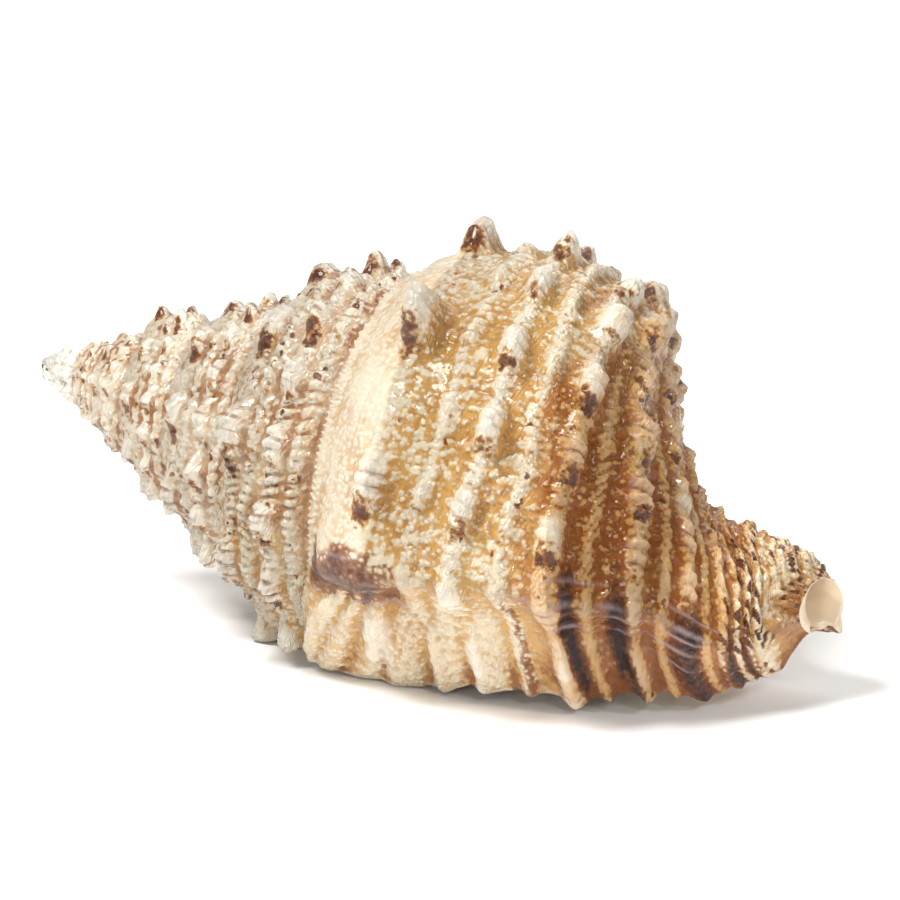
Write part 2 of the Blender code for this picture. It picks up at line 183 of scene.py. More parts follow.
def suture(t):
    return hermite(SUTURE[:, 0], SUTURE[:, 1], t), hermite(SUTURE[:, 0], SUTURE[:, 2], t)


def base_share(t, x):
    """Share of the radius left at x down the base: full at the lip, narrow at the inner wall."""
    back = hermite(BASE_X, BASE_BACK, x)
    lip = hermite(BASE_X, BASE_LIP, x)
    inner = hermite(BASE_X, BASE_INNER, x)
    to_lip = rise(t, -0.30, 0.26)
    to_inner = fall(t, -0.62, 0.38)
    return back + (lip - back) * to_lip + (inner - back) * to_inner


def swell(t, s):
    late = 1.0 - 0.45 * rise(t, -0.2, 0.2)
    out = hermite(SWELL[:, 0], SWELL[:, 1], s) * (0.6 + 0.4 * ease(t + 2.0)) * late
    full = rise(t, -0.62, 0.12) * fall(t, -0.20, 0.14)
    return out + SHOULDER * full * rise(s, 0.40, 0.45)


def section(t, s):
    """Axial place, radius and azimuth. s runs 0 to 1 across the whorl and 1 to 2 down the base."""
    w0, r0 = suture(t)
    w1, r1 = suture(t + 1.0)
    dw = w1 - w0
    dr = r1 - r0
    sc = np.clip(s, 0.0, 1.0)
    out = swell(t, sc)
    w = w0 + dw * sc - dr * out
    r = r0 + dr * sc + dw * out
    x = np.clip(s - 1.0, 0.0, 1.0)
    last = swell(t, np.ones(np.shape(s)))
    bw = w1 - dr * last
    br = r1 + dw * last
    w = np.where(s > 1.0, bw + (LENGTH - bw) * x, w)
    r = np.where(s > 1.0, TIP_R + (br - TIP_R) * base_share(t, x), r)
    r = r * (1.0 - TIP_TAPER * rise(x, 0.92, 0.08))
    c = rise(x, 0.35, 0.5)
    az = (LIP_AZ + 360.0 * t) * (1.0 - c) + (CANAL_AZ + (360.0 - CANAL_GAP) * t) * c
    w = w + TIP_SLANT * rise(x, 0.70, 0.30) * r * np.cos(np.radians(az - SLANT_AZ))
    return w, r, az


def drawn_in(w, az):
    """Share of the radius left where the last whorls turn under the shell."""
    from_below = (az - UNDER_AZ + 180.0) % 360.0 - 180.0
    return 1.0 - UNDER * bell(from_below / 48.0) * rise(w, 38.0, 45.0)


def plain(t, s):
    w, r, az = section(t, s)
    return place(w, r * drawn_in(w, az), az)


def axes_at(t, s):
    """Points of the plain surface, its normals and the direction of growth."""
    p = plain(t, s)
    along = plain(t + 1e-4, s) - plain(t - 1e-4, s)
    side = plain(t, s + 0.03) - plain(t, np.maximum(s - 0.03, 0.0))
    n = np.cross(along, side)
    n /= np.linalg.norm(n, axis=-1, keepdims=True) + 1e-12
    g = along / (np.linalg.norm(along, axis=-1, keepdims=True) + 1e-12)
    return p, n, g


# -------------------- sculpture

def across(t, s):
    """Distance across the whorl from its upper suture."""
    w0, r0 = suture(t)
    w1, r1 = suture(t + 1.0)
    whorl = np.hypot(w1 - w0, r1 - r0) * np.clip(s, 0, 1)
    return whorl + 1.15 * (LENGTH - w1) * np.clip(s - 1, 0, 1)


def row_places(t):
    """Where each spiral row runs: the rows spread as the last whorl widens."""
    whorl = rise(t, -1.05, 0.6)
    base = rise(t, -0.46, 0.40)
    low = 0.8 * rise(t, -0.20, 0.12)
    high = np.clip((-0.14 - t) / 0.20, 0.0, 0.75) * rise(t, -0.75, 0.20)
    places = []
    for row in ROWS:
        at = row[0] + (row[1] - row[0]) * (base if row[0] > 1.0 else whorl)
        share = np.clip((row[1] - 0.30) / 0.50, 0.0, 1.0)
        last = np.clip((1.45 - row[1]) / 0.30, 0.0, 1.0)
        places.append(at + ROW_LEAN * (high * share - low) * last)
    return places


def varix(t):
    return sum(high * bell((t - at) / VARIX_WIDTH) for at, high in VARICES)


def flattened(p, t):
    """The underside settles on to the resting plane, all but the lip."""
    a = np.radians(PITCH)
    z = -np.sin(a) * (p[..., 0] - CENTRE) + np.cos(a) * p[..., 2]
    raised = FLOOR_Z + SOFT * np.logaddexp(0.0, (z - FLOOR_Z) / SOFT) - 0.4
    share = 1.0 - rise(t, -0.2, 0.1)
    return p + ((raised - z) * share)[..., None] * np.array((-np.sin(a), 0.0, np.cos(a)))


# -------------------- noise and grains

def hashed(cell, salt):
    """A fixed pseudo-random number from 0 to 1 for each whole-numbered cell."""
    c = np.asarray(cell).astype(np.int64)
    h = c[..., 0] * 73856093 ^ c[..., 1] * 19349663 ^ c[..., 2] * 83492791 ^ (salt * 2654435761)
    h = (h ^ (h >> 13)) * 1274126177
    h = h ^ (h >> 16)
    return (h & 0xFFFFFF) / float(0x1000000)


def noise(p, scale, salt):
    """Smooth noise from -1 to 1; scale is the size of its lumps."""
    q = p / scale
    low = np.floor(q)
    f = q - low
    f = f * f * (3.0 - 2.0 * f)
    total = 0.0
    for corner in product((0, 1), repeat=3):
        x, y, z = (f[..., axis] if far else 1 - f[..., axis] for axis, far in enumerate(corner))
        total = total + x * y * z * hashed(low + np.array(corner), salt)
    return 2.0 * total - 1.0


GRAIN_LEAST = 0.30      # the smallest grain's radius, as a share of its cell
GRAIN_MORE = 0.32       # how much larger the largest is


def pustules(p, cell):
    """Rounded grains strewn over a surface: height from 0 to 1 at each point."""
    q = p / cell
    low = np.floor(q)
    best = np.zeros(q.shape[:-1])
    for step in product((-1, 0, 1), repeat=3):
        c = low + np.array(step)
        at = c + 0.2 + 0.6 * np.stack([hashed(c, k) for k in (1, 2, 3)], -1)
        size = GRAIN_LEAST + GRAIN_MORE * hashed(c, 4)
        d2 = ((q - at) ** 2).sum(-1) / (size * size)
        grain = np.sqrt(np.clip(1.0 - d2, 0.0, 1.0)) * size / (GRAIN_LEAST + GRAIN_MORE)
        best = np.maximum(best, grain)
    return best


# -------------------- fine sculpture

WALK_T = np.linspace(FIRST_TURN, 0.0, 701)
WALK_S = np.linspace(0.0, 2.0, 41)


def walk_table():
    """Distance along the spiral from its start to each place, in mm, for a grid of places."""
    t, s = np.meshgrid(WALK_T, WALK_S, indexing="ij")
    step = TAU * section(t, s)[1] * (WALK_T[1] - WALK_T[0])
    early = (t < -1.0) & (s > 1.0)
    step[early] = 0.0
    table = np.cumsum(step, axis=0)
    wall = np.searchsorted(WALK_T, -1.0)
    edge = np.searchsorted(WALK_S, 1.0)
    table[:, edge + 1:] += table[wall, edge]
    return table


WALK = walk_table()


def walk(t, s):
    """Distance along the spiral at t and s."""
    i = np.clip((t - WALK_T[0]) / (WALK_T[1] - WALK_T[0]), 0, len(WALK_T) - 1.001)
    j = np.clip(s / WALK_S[1], 0, len(WALK_S) - 1.001)
    i0 = i.astype(int)
    j0 = j.astype(int)
    u = i - i0
    v = j - j0
    near = WALK[i0, j0] * (1 - u) + WALK[i0 + 1, j0] * u
    far = WALK[i0, j0 + 1] * (1 - u) + WALK[i0 + 1, j0 + 1] * u
    return near * (1 - v) + far * v


def away_from_edges(t, s):
    """1 inside the strip, 0 on its sutures and ends, where it joins itself."""
    end = np.where(t < -1.0, 1.0, 2.0)
    return ease(s / 0.10) * fall(s, end, 0.10)


FULL_R = 47.0            # whorls of this radius or more carry the rows at full size
WANDER = (0.0030, 15.0)  # how far the sculpture strays along the spiral, turns, over what distance
STRAY = (0.010, 13.0)    # how far it strays across the whorl, over what distance
# Beads on the cords: from one to the next on a thin cord, how much more on a thick one and on
# the spire, then their height on a thin cord, how much more on a thick one and on the spire.
BEAD_PITCH = (2.0, 0.7, 0.4)
BEAD_HEIGHT = (0.35, 0.50, 1.3)
THICK_CORD = 1.6         # a cord of this height or more counts as thick
STRONG_KNOB = 2.5        # a knob of this height or more counts as strong
LUMP_PITCH = 2.7         # lumps on the knobs
LUMP_HEIGHT = 0.80
KNOB_AHEAD = 1.6         # half-length of a knob against its width, ahead
KNOB_BEHIND = 1.25       # and behind
UNEVEN = 0.22            # how much the knobs differ in height
LIP_LOSS = 0.75          # height that the knobs lose on the lip
NECK_SHARE = 0.45        # height of the last rows' knobs against the solid's
LAST_LOSS = 0.45         # height that the shoulder knob by the lip loses
LEAST_MARK = 0.75        # how strong the marks of the shoulder knobs are at least


def kept_height(k, t):
    """Height that the knobs of row k keep near the lip and on the neck."""
    if k == 0:
        return 1.0 - LAST_LOSS * rise(t, -0.20, 0.04)
    calm = 1.0 - CALM_SHARE * rise(t, -0.28, 0.10) if k > 3 else 1.0
    return calm * NECK_SHARE if k > 7 else calm


def add_row(c, k, t, at):
    """Adds spiral row k: its cord and beads, its knobs and their lumps, and where each is."""
    cord_h, cord_w, knob_h, knob_w, times = ROWS[k][2:]
    size = c["size"]
    early = c["early"]
    off_lip = 1.0 - c["on_lip"]
    phase = (c["t"] - KNOB_AT) * KNOBS * times
    nearest = np.round(phase)
    g = (phase - nearest) / (KNOBS * times) * TAU * c["radius"]
    d = (c["a"] - across(t, at)) / size
    cord = bell(d / cord_w)
    thick = min(cord_h / THICK_CORD, 1.0)
    c["cords"] = np.maximum(c["cords"], cord * (0.4 + 0.6 * thick))
    c["height"] += cord_h * cord * (1.0 + 0.5 * c["on_lip"])
    # knobs
    length = np.where(g > 0, KNOB_AHEAD, KNOB_BEHIND) * knob_w * size
    knob = dome(g / length) * dome(d / (KNOB_SLIM * knob_w))
    uneven = 1.0 + UNEVEN * np.sin(nearest * 2.4 + k * 1.7)
    on_spire = 1.0 + ((FIRST_ROW_SHARE if k == 0 else OTHER_ROW_SHARE) - 1.0) * early
    share = (1.0 - LIP_LOSS * c["on_lip"]) * (1.0 + 0.2 * varix(t)) * on_spire * kept_height(k, t)
    c["height"] += knob_h * uneven * knob * share
    # beads
    pitch = BEAD_PITCH[0] + BEAD_PITCH[1] * thick + BEAD_PITCH[2] * early
    wave = np.cos(TAU * c["gone"] / pitch + 2.2 * np.sin(nearest * 1.3 + k))
    bead = np.sqrt(np.clip(0.5 + 0.5 * wave, 0.0, 1.0))
    fine = (BEAD_HEIGHT[0] + BEAD_HEIGHT[1] * thick) * (1.0 - 0.5 * c["on_lip"]) * c["neck"]
    c["height"] += fine * bell(d / (0.8 * cord_w)) * (bead - 0.5) * (1.0 + BEAD_HEIGHT[2] * early)
    c["crest"] = np.maximum(c["crest"], cord * (0.45 + 0.55 * thick) * (0.65 + 0.35 * bead))
    # lumps on the knobs, the seams between them and the mark at the knobs' foot
    strong = min(knob_h / STRONG_KNOB, 1.0)
    lump = np.cos(TAU * g / LUMP_PITCH + nearest)
    c["height"] += LUMP_HEIGHT * strong * knob * lump * off_lip * (1.0 - 0.5 * early)
    c["seam"] = np.maximum(c["seam"], knob * strong * fall(lump, -0.62, 0.34) * off_lip)
    c["top"] = np.maximum(c["top"], knob * strong)
    foot = bell((g - 1.05 * length) / (0.50 * length + 0.3)) * dome(d / (0.70 * knob_w))
    zero = np.zeros(np.shape(t))
    luck = hashed(np.stack((nearest, zero + k, zero), -1), 9)
    luck = np.maximum(luck, LEAST_MARK) if k == 0 else luck
    c["mark"] = np.maximum(c["mark"], foot * strong * (0.25 + 0.85 * luck) * off_lip)


def details(t, s):
    """Every named height and mask of the sculpture at t and s."""
    p = plain(t, s)
    keep = away_from_edges(t, s)
    tw = t + WANDER[0] * noise(p, WANDER[1], 5) * keep * ease(-t / 0.03)
    sw = s + STRAY[0] * noise(p, STRAY[1], 6) * keep
    size = np.minimum(suture(t + 1.0)[1] / FULL_R, 1.0)
    c = {
        "p": p, "t": tw, "a": across(tw, sw), "gone": walk(tw, sw), "size": size,
        "radius": np.maximum(section(t, s)[1], 14.0 * size),
        "on_lip": rise(t, -0.10, 0.07), "early": 1.0 - rise(t, -1.15, 0.5),
        "neck": 1.0 - 0.55 * rise(s, 1.15, 0.30),
    }
    for name in ("height", "crest", "top", "mark", "cords", "seam"):
        c[name] = np.zeros(np.shape(t))
    for k, at in enumerate(row_places(t)):
        add_row(c, k, t, at)
    return c


def past_ridge(t, s):
    """Turns past the crest of the ridge behind the lip."""
    return t - RIDGE_AT + RIDGE_LEAN * ease(s / 0.75)


def relief(t, s, d):
    """Height of all sculpture above the plain surface."""
    size = d["size"]
    inside = ease(s / 0.12)
    inside = np.where(t < -1.0, inside * fall(s, 1.0, 0.10), inside)
    height = (d["height"] + varix(t)) * size * inside
    past = past_ridge(t, s)
    ridge = np.where(past < 0.0, bell(past / 0.032), bell(past / 0.014))
    fade = rise(s, 0.02, 0.15) * fall(s, 1.7, 0.9)
    height += RIDGE_HEIGHT * ridge * fade
    dip = rise(past, 0.005, 0.035)
    flare = np.clip((t + 0.055) / 0.055, 0, 1) ** 1.6
    fade = rise(s, 0.02, 0.2) * fall(s, 1.8, 0.4)
    height += (LIP_FLARE * flare - LIP_DIP * dip) * fade
    return height


def smooth_band(t, s):
    """Where the last whorl is nearly smooth: below its suture, and on the lip."""
    last = rise(t, -0.75, 0.3)
    shoulder = 1.0 - rise(s, 0.26, 0.14)
    return np.maximum(last * shoulder, 0.75 * rise(past_ridge(t, s), -0.005, 0.02))


def suture_relief(t, s, d):
    """The gutter along the upper suture, its beaded rim, and the fall to the next suture."""
    size = d["size"]
    bead = 0.5 + 0.5 * np.cos(TAU * d["gone"] / (0.9 + 1.7 * size))
    rim = bell((d["a"] - 1.9 * size) / (1.2 * size)) * (0.7 + 0.9 * bead)
    w0, r0 = suture(t + 1.0)
    left = np.hypot(w0 - suture(t)[0], r0 - suture(t)[1]) * (1.0 - s)
    drop = bell(left / (2.6 * size)) * (s <= 1.0) * fall(t, -0.9, 0.1)
    return (1.1 * rim - 1.5 * drop * ease(left / (0.6 * size))) * size


# Ribs on the upper part of the lip: place across, half-width.
LIP_RIBS = (
    (0.065, 0.024), (0.118, 0.026), (0.190, 0.036), (0.325, 0.070), (0.510, 0.078), (0.705, 0.062),
)
RIB_HEIGHT = 2.8
RIB_SUNK = 0.45          # how far the lip lies lower between them, as a share of that
RIB_LEAN = 2.5           # how they lean with the lip's flare: place across, to a turn
RIB_BEADS = (0.40, 2.9)  # their beads' height and pitch
LIP_LINES = (0.16, 1.9)  # the growth lines' height and pitch


def lip_rib(t, s):
    """Share of a rib, on the lip only."""
    upright = s + RIB_LEAN * t * (1.0 - rise(s, 0.35, 0.50))
    ribs = [np.exp(-np.abs((upright - at) / wide) ** 2.6) for at, wide in LIP_RIBS]
    return np.max(ribs, axis=0) * rise(past_ridge(t, s), 0.002, 0.03)


def lip_ribs(t, s, d):
    """Ribs on the lip between the named rows, and its growth lines."""
    upper = 1.0 - rise(s, 0.78, 0.10)
    near = rise(past_ridge(t, s), 0.002, 0.03)
    lines = np.cos(TAU * d["gone"] / LIP_LINES[1] + 1.5 * noise(d["p"], 7.0, 12))
    rib = lip_rib(t, s)
    beads = RIB_BEADS[0] * rib * np.cos(TAU * d["gone"] / RIB_BEADS[1] + 9.0 * s)
    return (RIB_HEIGHT * (rib - RIB_SUNK * near) + beads) * upper + LIP_LINES[0] * near * lines


NECK_PITCH = 3.3         # from one row of beads on the canal to the next
NECK_BEAD = 3.2          # and from one bead to the next in a row
NECK_HEIGHT = 1.15
SPOT_CHANCE = 0.45       # share of the gaps between the beads that stay pale


def neck_beads(t, s, d):
    """Rows of beads on the canal: their height, and the dark spots between them."""
    row = d["a"] / NECK_PITCH + 0.2 * np.sin(TAU * t * 2.0)
    number = np.round(row)
    cord = 0.5 + 0.5 * np.cos(TAU * row)
    wave = np.cos(TAU * d["gone"] / NECK_BEAD + 2.1 * number)
    there = rise(s, 1.62, 0.09) * fall(t, -0.05, 0.06)
    beads = there * (np.sqrt(cord) * (0.65 + 0.35 * wave) - 0.35)
    link = np.floor(d["gone"] / NECK_BEAD + 2.1 * number / TAU)
    luck = hashed(np.stack((link, number, np.zeros(np.shape(t))), -1), 17)
    spots = there * rise(cord, 0.10, 0.45) * fall(wave, 0.25, 0.6) * (luck > SPOT_CHANCE)
    return beads, spots


GRAIN_CELL = 2.1         # how far apart the grains lie
GRAIN_HEIGHT = 0.70
# Uneven swellings: height, size, and the noise's number.
SWELLINGS = (0.34, 6.5, 7)
RIPPLES = (0.14, 2.9, 8)
WRINKLE_PITCH = 2.3      # growth wrinkles
WRINKLE_HEIGHT = (0.05, 0.16)   # all over, and how much more on the right flank
TIP_WAVES = (0.9, 9.0)   # waves on the worn tip: height, and number to a turn


def fine_relief(t, s, d):
    """Grains, threads, wrinkles and lumps, which only show from close by."""
    p = d["p"]
    plainness = smooth_band(t, s)
    worn = fall(t, -5.4, 0.5)
    grains = pustules(p, GRAIN_CELL)
    d["grain"] = grains * (1.0 - 0.8 * plainness) * (1.0 - worn)
    low_neck = 1.0 - 0.6 * rise(s, 1.15, 0.30)
    height = GRAIN_HEIGHT * (d["grain"] - 0.25) * (1.0 - 0.8 * d["top"]) * low_neck
    swelling = SWELLINGS[0] * noise(p, *SWELLINGS[1:])
    height += swelling + RIPPLES[0] * noise(p, *RIPPLES[1:]) * (1.0 - d["top"])
    right = rise(s, 0.85, 0.3) * fall(t, -0.12, 0.1)
    wrinkle = np.cos(TAU * d["gone"] / WRINKLE_PITCH + 2.5 * noise(p, 9.0, 10))
    height += (WRINKLE_HEIGHT[0] + WRINKLE_HEIGHT[1] * right) * wrinkle
    height += lip_ribs(t, s, d)
    beads, d["spots"] = neck_beads(t, s, d)
    height += NECK_HEIGHT * beads
    height *= (0.35 + 0.65 * d["size"]) * ease(d["a"] / 0.8)
    height += suture_relief(t, s, d) * ease(d["a"] / 0.3)
    height += TIP_WAVES[0] * worn * np.cos(TAU * TIP_WAVES[1] * t) * bell((s - 0.5) / 0.3)
    return height * ease(-t / 0.012 + 0.25)


# The folded lobe at the lip's upper corner: place across and half-width, then how far it
# stands out, ahead of the lip, and towards the apex.
LOBE_AT = 0.09
LOBE_WIDE = 0.10
LOBE_OUT = 2.5
LOBE_AHEAD = 2.0
LOBE_BACK = 7.5
HEM = 8.0                # how far the upper part of the lip's edge reaches on
RIB_REACH = 1.4          # the ribs' reach past the edge against the cords'


def surface(t, s):
    """The shell's outside."""
    p, n, g = axes_at(t, s)
    d = details(t, s)
    end = np.where(t < -1.0, 1.0, 2.0)
    small = fine_relief(t, s, d) * fall(s, end, 0.03)
    p = p + n * (relief(t, s, d) + small)[..., None]
    edge = rise(t, -0.05, 0.05) * fall(s, 1.9, 0.3)
    reach = SCALLOP * np.maximum(d["cords"], RIB_REACH * lip_rib(t, s)) + EDGE_ON
    p = p + g * (edge * reach)[..., None]
    lobe = rise(t, -0.075, 0.06) * bell((s - LOBE_AT) / LOBE_WIDE) * ease(s / 0.04)
    p = p + lobe[..., None] * (n * LOBE_OUT + g * LOBE_AHEAD + np.array((-LOBE_BACK, 0.0, 0.0)))
    hem = rise(t, -0.04, 0.04) * fall(s, 0.70, 0.45) * ease(s / 0.05)
    p = p + hem[..., None] * g * HEM
    return flattened(p, t), n, g


# -------------------- mesh of the outside

class Net:
    """Vertices with their place on the shell, and the faces between them."""

    def __init__(self):
        self.points = []
        self.places = []
        self.faces = []
        self.known = {}

    def add(self, point, t, s):
        self.points.append(point)
        self.places.append((t, s))
        return len(self.points) - 1

    def column(self, number, t, rows, points):
        """Vertex numbers down one column, made where they are new."""
        ids = []
        for s, p in zip(rows, points):
            key = (number + TURN, 0.0) if s == 1.0 and number < LAST - TURN + 1 else (number, s)
            if key not in self.known:
                self.known[key] = self.add(p, t, s)
            ids.append(self.known[key])
        return ids


def zipped(left, right):
    """Triangles between two lines of vertices that start and end side by side."""
    faces = []
    i = 0
    j = 0
    while i < len(left) - 1 or j < len(right) - 1:
        step_left = (i + 1) / (len(left) - 1)
        step_right = (j + 1) / (len(right) - 1)
        if step_left <= step_right:
            faces.append((left[i], left[i + 1], right[j]))
            i += 1
        else:
            faces.append((left[i], right[j + 1], right[j]))
            j += 1
    return [f for f in faces if len(set(f)) == 3]


TURN = 384                       # finest columns in one turn
TURNS = 7
LAST = TURN * TURNS              # the lip's column
STEPS = (1, 1, 2, 2, 4, 4, 4)    # from the last turn back: every how many columns is made
ACROSS = (64, 38, 26, 18, 12, 10, 8)   # rows from suture to suture, from the last turn back
BASE_ROWS = 96
CLOSER = 0.33                    # how much closer the columns are there
EDGE_R = 0.9                     # how round the lip's edge is
EDGE_CURL = (30.0, 60.0, 90.0)   # how far each column there has rolled over, degrees


def column_turn(number):
    """Where a column stands, in turns: columns are closest a fifth of a turn before the lip."""
    whole = number // TURN
    share = (number - whole * TURN) / TURN
    ahead = np.sin(TAU * (share - 0.3)) + np.sin(TAU * 0.3)
    return FIRST_TURN + whole + share + CLOSER * ahead / TAU


def turn_net(net, back):
    """One turn of the strip, counted back from the lip."""
    step = STEPS[back]
    first = LAST - TURN * (back + 1)
    numbers = np.arange(first, first + TURN + 1, step)
    rows = np.linspace(0.0, 1.0, ACROSS[back] + 1)
    if back == 0:
        rows = np.concatenate((rows, 1.0 + np.linspace(0.0, 1.0, BASE_ROWS + 1)[1:]))
    places = np.array([column_turn(n) for n in numbers])
    points, _, _ = surface(*np.meshgrid(places, rows, indexing="ij"))
    columns = [net.column(n, t, rows, p) for n, t, p in zip(numbers, places, points)]
    return numbers, rows, columns


def strip_faces(net, back, numbers, columns, older):
    """Faces of one turn; its first column's upper part may belong to the turn before."""
    whorl = ACROSS[back]
    for i in range(len(columns) - 1):
        a = columns[i]
        b = columns[i + 1]
        extra = []
        if back > 0 and STEPS[back] > STEPS[back - 1]:
            extra = [net.known[((numbers[i] + numbers[i + 1]) // 2 + TURN, 0.0)]]
        start = 0
        if i == 0 and older is not None:
            start = whorl
            net.faces += zipped(older, b[:whorl + 1])
            if extra:
                net.faces.append((older[-1], extra[0], b[whorl]))
        for j in range(start, len(a) - 1):
            if extra and j == whorl - 1:
                hub = extra[0]
                net.faces += [(a[j], a[j + 1], hub), (a[j], hub, b[j]), (b[j], hub, b[j + 1])]
            else:
                net.faces.append((a[j], a[j + 1], b[j + 1], b[j]))


def close(net, loop, centre, place):
    """A fan of triangles over a ring of vertices."""
    hub = net.add(centre, *place)
    for i, a in enumerate(loop):
        net.faces.append((a, loop[(i + 1) % len(loop)], hub))


def curled(net, lip, rows):
    """Three more columns that roll the lip's edge inwards; returns the last."""
    points, n, g = surface(np.zeros(len(rows)), rows)
    for turned in EDGE_CURL:
        a = np.radians(turned)
        reach = EDGE_R * ease(rows / 0.06) * fall(rows, 2.0, 0.06)
        moved = points + (g * np.sin(a) - n * (1.0 - np.cos(a))) * reach[:, None]
        new = [lip[0]]
        new += [net.add(p, 0.0, s) for p, s in zip(moved[1:-1], rows[1:-1])]
        new += [lip[-1]]
        for j in range(len(lip) - 1):
            face = (lip[j], lip[j + 1], new[j + 1], new[j])
            net.faces.append(tuple(dict.fromkeys(face)))
        lip = new
    return lip


def outside():
    """The whole outside, closed at the apex, over the opening and at the canal's end."""
    net = Net()
    turns = [turn_net(net, back) for back in range(TURNS)]
    for back in range(TURNS):
        older = turns[back + 1][2][-1] if back < TURNS - 1 else None
        strip_faces(net, back, turns[back][0], turns[back][2], older)
    first = turns[-1][2]
    apex = [c[0] for c in first] + first[0][ACROSS[-1] - 1:0:-1]
    close(net, apex, np.array((-0.4, 0.0, 0.0)), (FIRST_TURN, 0.0))
    last = turns[0][2]
    ring = [c[-1] for c in last]
    lip = curled(net, last[-1], turns[0][1])
    over_opening = len(net.faces)
    net.faces += zipped(lip, last[0][ACROSS[0]:])
    middle = np.mean([net.points[i] for i in ring], axis=0)
    close(net, ring[::-1], middle, (0.0, 2.0))
    return net, over_opening


# -------------------- cutters

def tube(sections):
    """A closed tube through rings of equal length."""
    n = len(sections[0])
    points = [p for ring in sections for p in ring]
    faces = []
    for k in range(len(sections) - 1):
        for i in range(n):
            j = (i + 1) % n
            faces.append((k * n + i, k * n + j, (k + 1) * n + j, (k + 1) * n + i))
    faces.append(tuple(range(n - 1, -1, -1)))
    faces.append(tuple((len(sections) - 1) * n + i for i in range(n)))
    return np.array(points), faces


HOLE_START = 0.045      # where the opening's cutter starts, turns past the lip
HOLE_ROUND = 0.16       # how long its rounded end is
HOLE_LEAST = 0.08       # how wide its last ring still is, as a share
HOLE_POINTS = 28
HOLE_RINGS = 34


def hole_rings():
    """The opening's oval, carried back round the axis and closing to a rounded end."""
    rings = []
    tilt = np.radians(HOLE_TILT)
    angle = np.linspace(0.0, TAU, HOLE_POINTS, endpoint=False)
    for t in np.linspace(HOLE_START, HOLE_DEPTH, HOLE_RINGS):
        back = min(t, 0.0)
        w0, r0 = suture(back)
        q = r0 / SUTURE[8, 2]
        end = np.clip((t - HOLE_DEPTH) / HOLE_ROUND, 0.0, 1.0)
        narrow = max(np.sqrt(1.0 - (1.0 - end) ** 2), HOLE_LEAST)
        along = HOLE_HALF[0] * q * narrow * np.cos(angle)
        wide = HOLE_HALF[1] * q * narrow * np.sin(angle)
        w = w0 + HOLE_CENTRE[0] * q + along * np.cos(tilt) - wide * np.sin(tilt)
        r = HOLE_CENTRE[1] * q + along * np.sin(tilt) + wide * np.cos(tilt)
        rings.append(place(w, r, np.full(len(w), LIP_AZ + 360.0 * t)))
    return rings


TROUGH_ARC = (35.0, 325.0)   # its round part, degrees from the slit
TROUGH_POINTS = 20
TROUGH_RINGS = 12
TROUGH_BEND = 30.0      # over what length it bends on to the axis
SLIT_HALF = 1.9         # half-width of the slit below it
SLIT_MORE = 2.2         # and how much more where it leaves the opening
SLIT_DEEP = 16.0
PAST_TIP = 6.0          # how far it runs on past the canal's end
FLARE_LONG = 13.0       # over what length it widens there


def trough_rings():
    """The canal's trough: it leaves the opening's far end and bends on to the axis."""
    rings = []
    arc = np.radians(np.linspace(*TROUGH_ARC, TROUGH_POINTS))
    for w in np.linspace(TROUGH_FROM, LENGTH + PAST_TIP, TROUGH_RINGS):
        bend = ease((w - TROUGH_FROM) / TROUGH_BEND)
        off = TROUGH_SIDE * (1.0 - bend)
        middle = place(w, off, LIP_AZ + 6.0)
        slit = LIP_AZ + 90.0 + (CANAL_AZ + CANAL_GAP / 2.0 - LIP_AZ - 90.0) * bend
        half = SLIT_HALF + SLIT_MORE * (1.0 - bend)
        wide = TROUGH_R + TROUGH_FLARE * ease((w - LENGTH + FLARE_LONG) / FLARE_LONG)
        down = np.concatenate((wide * np.cos(arc), (SLIT_DEEP, SLIT_DEEP)))
        side = np.concatenate((wide * np.sin(arc), (-half, half)))
        az = np.degrees(np.arctan2(side, down)) + slit
        rings.append(middle + place(np.zeros(len(az)), np.hypot(side, down), az))
    return rings


# -------------------- scene objects

def to_world(p):
    """Lean the axis, and measure from the resting plane, in metres."""
    a = np.radians(PITCH)
    x = p[:, 0] - CENTRE
    wx = np.cos(a) * x + np.sin(a) * p[:, 2]
    wz = -np.sin(a) * x + np.cos(a) * p[:, 2]
    return np.stack((wx, p[:, 1], wz - FLOOR_Z), -1) * MM


def outward(points, faces):
    """The faces turned, if need be, to look out of the volume they close."""
    volume = 0.0
    for f in faces:
        for i in range(1, len(f) - 1):
            volume += np.dot(points[f[0]], np.cross(points[f[i]], points[f[i + 1]]))
    return faces if volume > 0 else [f[::-1] for f in faces]


def read(items, name, width=1, kind=float):
    """One property of every item, in one row of numbers."""
    values = np.empty(len(items) * width, kind)
    items.foreach_get(name, values)
    return values


def mesh_object(name, points, faces, places, inner):
    """An object whose corners keep their place on the shell, and whether they are inside."""
    mesh = bpy.data.meshes.new(name)
    mesh.from_pydata(points.tolist(), [], [tuple(int(i) for i in f) for f in faces])
    corners = read(mesh.loops, "vertex_index", 1, int)
    sizes = np.array([len(f) for f in faces])
    place_map = mesh.uv_layers.new(name="place")
    place_map.data.foreach_set("uv", np.asarray(places)[corners].ravel())
    kind_map = mesh.uv_layers.new(name="kind")
    kind = np.repeat(inner, sizes)
    kind_map.data.foreach_set("uv", np.stack((kind, kind), -1).ravel())
    obj = bpy.data.objects.new(name, mesh)
    bpy.context.collection.objects.link(obj)
    return obj


def hollowed(shell, cutters):
    """The shell with the cutters taken out of it, as a plain mesh."""
    for cutter in cutters:
        mod = shell.modifiers.new(cutter.name, "BOOLEAN")
        mod.operation = "DIFFERENCE"
        mod.solver = "MANIFOLD"
        mod.object = cutter
    bpy.context.view_layer.update()
    graph = bpy.context.evaluated_depsgraph_get()
    made = bpy.data.meshes.new_from_object(shell.evaluated_get(graph))
    shell.modifiers.clear()
    shell.data = made
    for cutter in cutters:
        bpy.data.objects.remove(cutter)


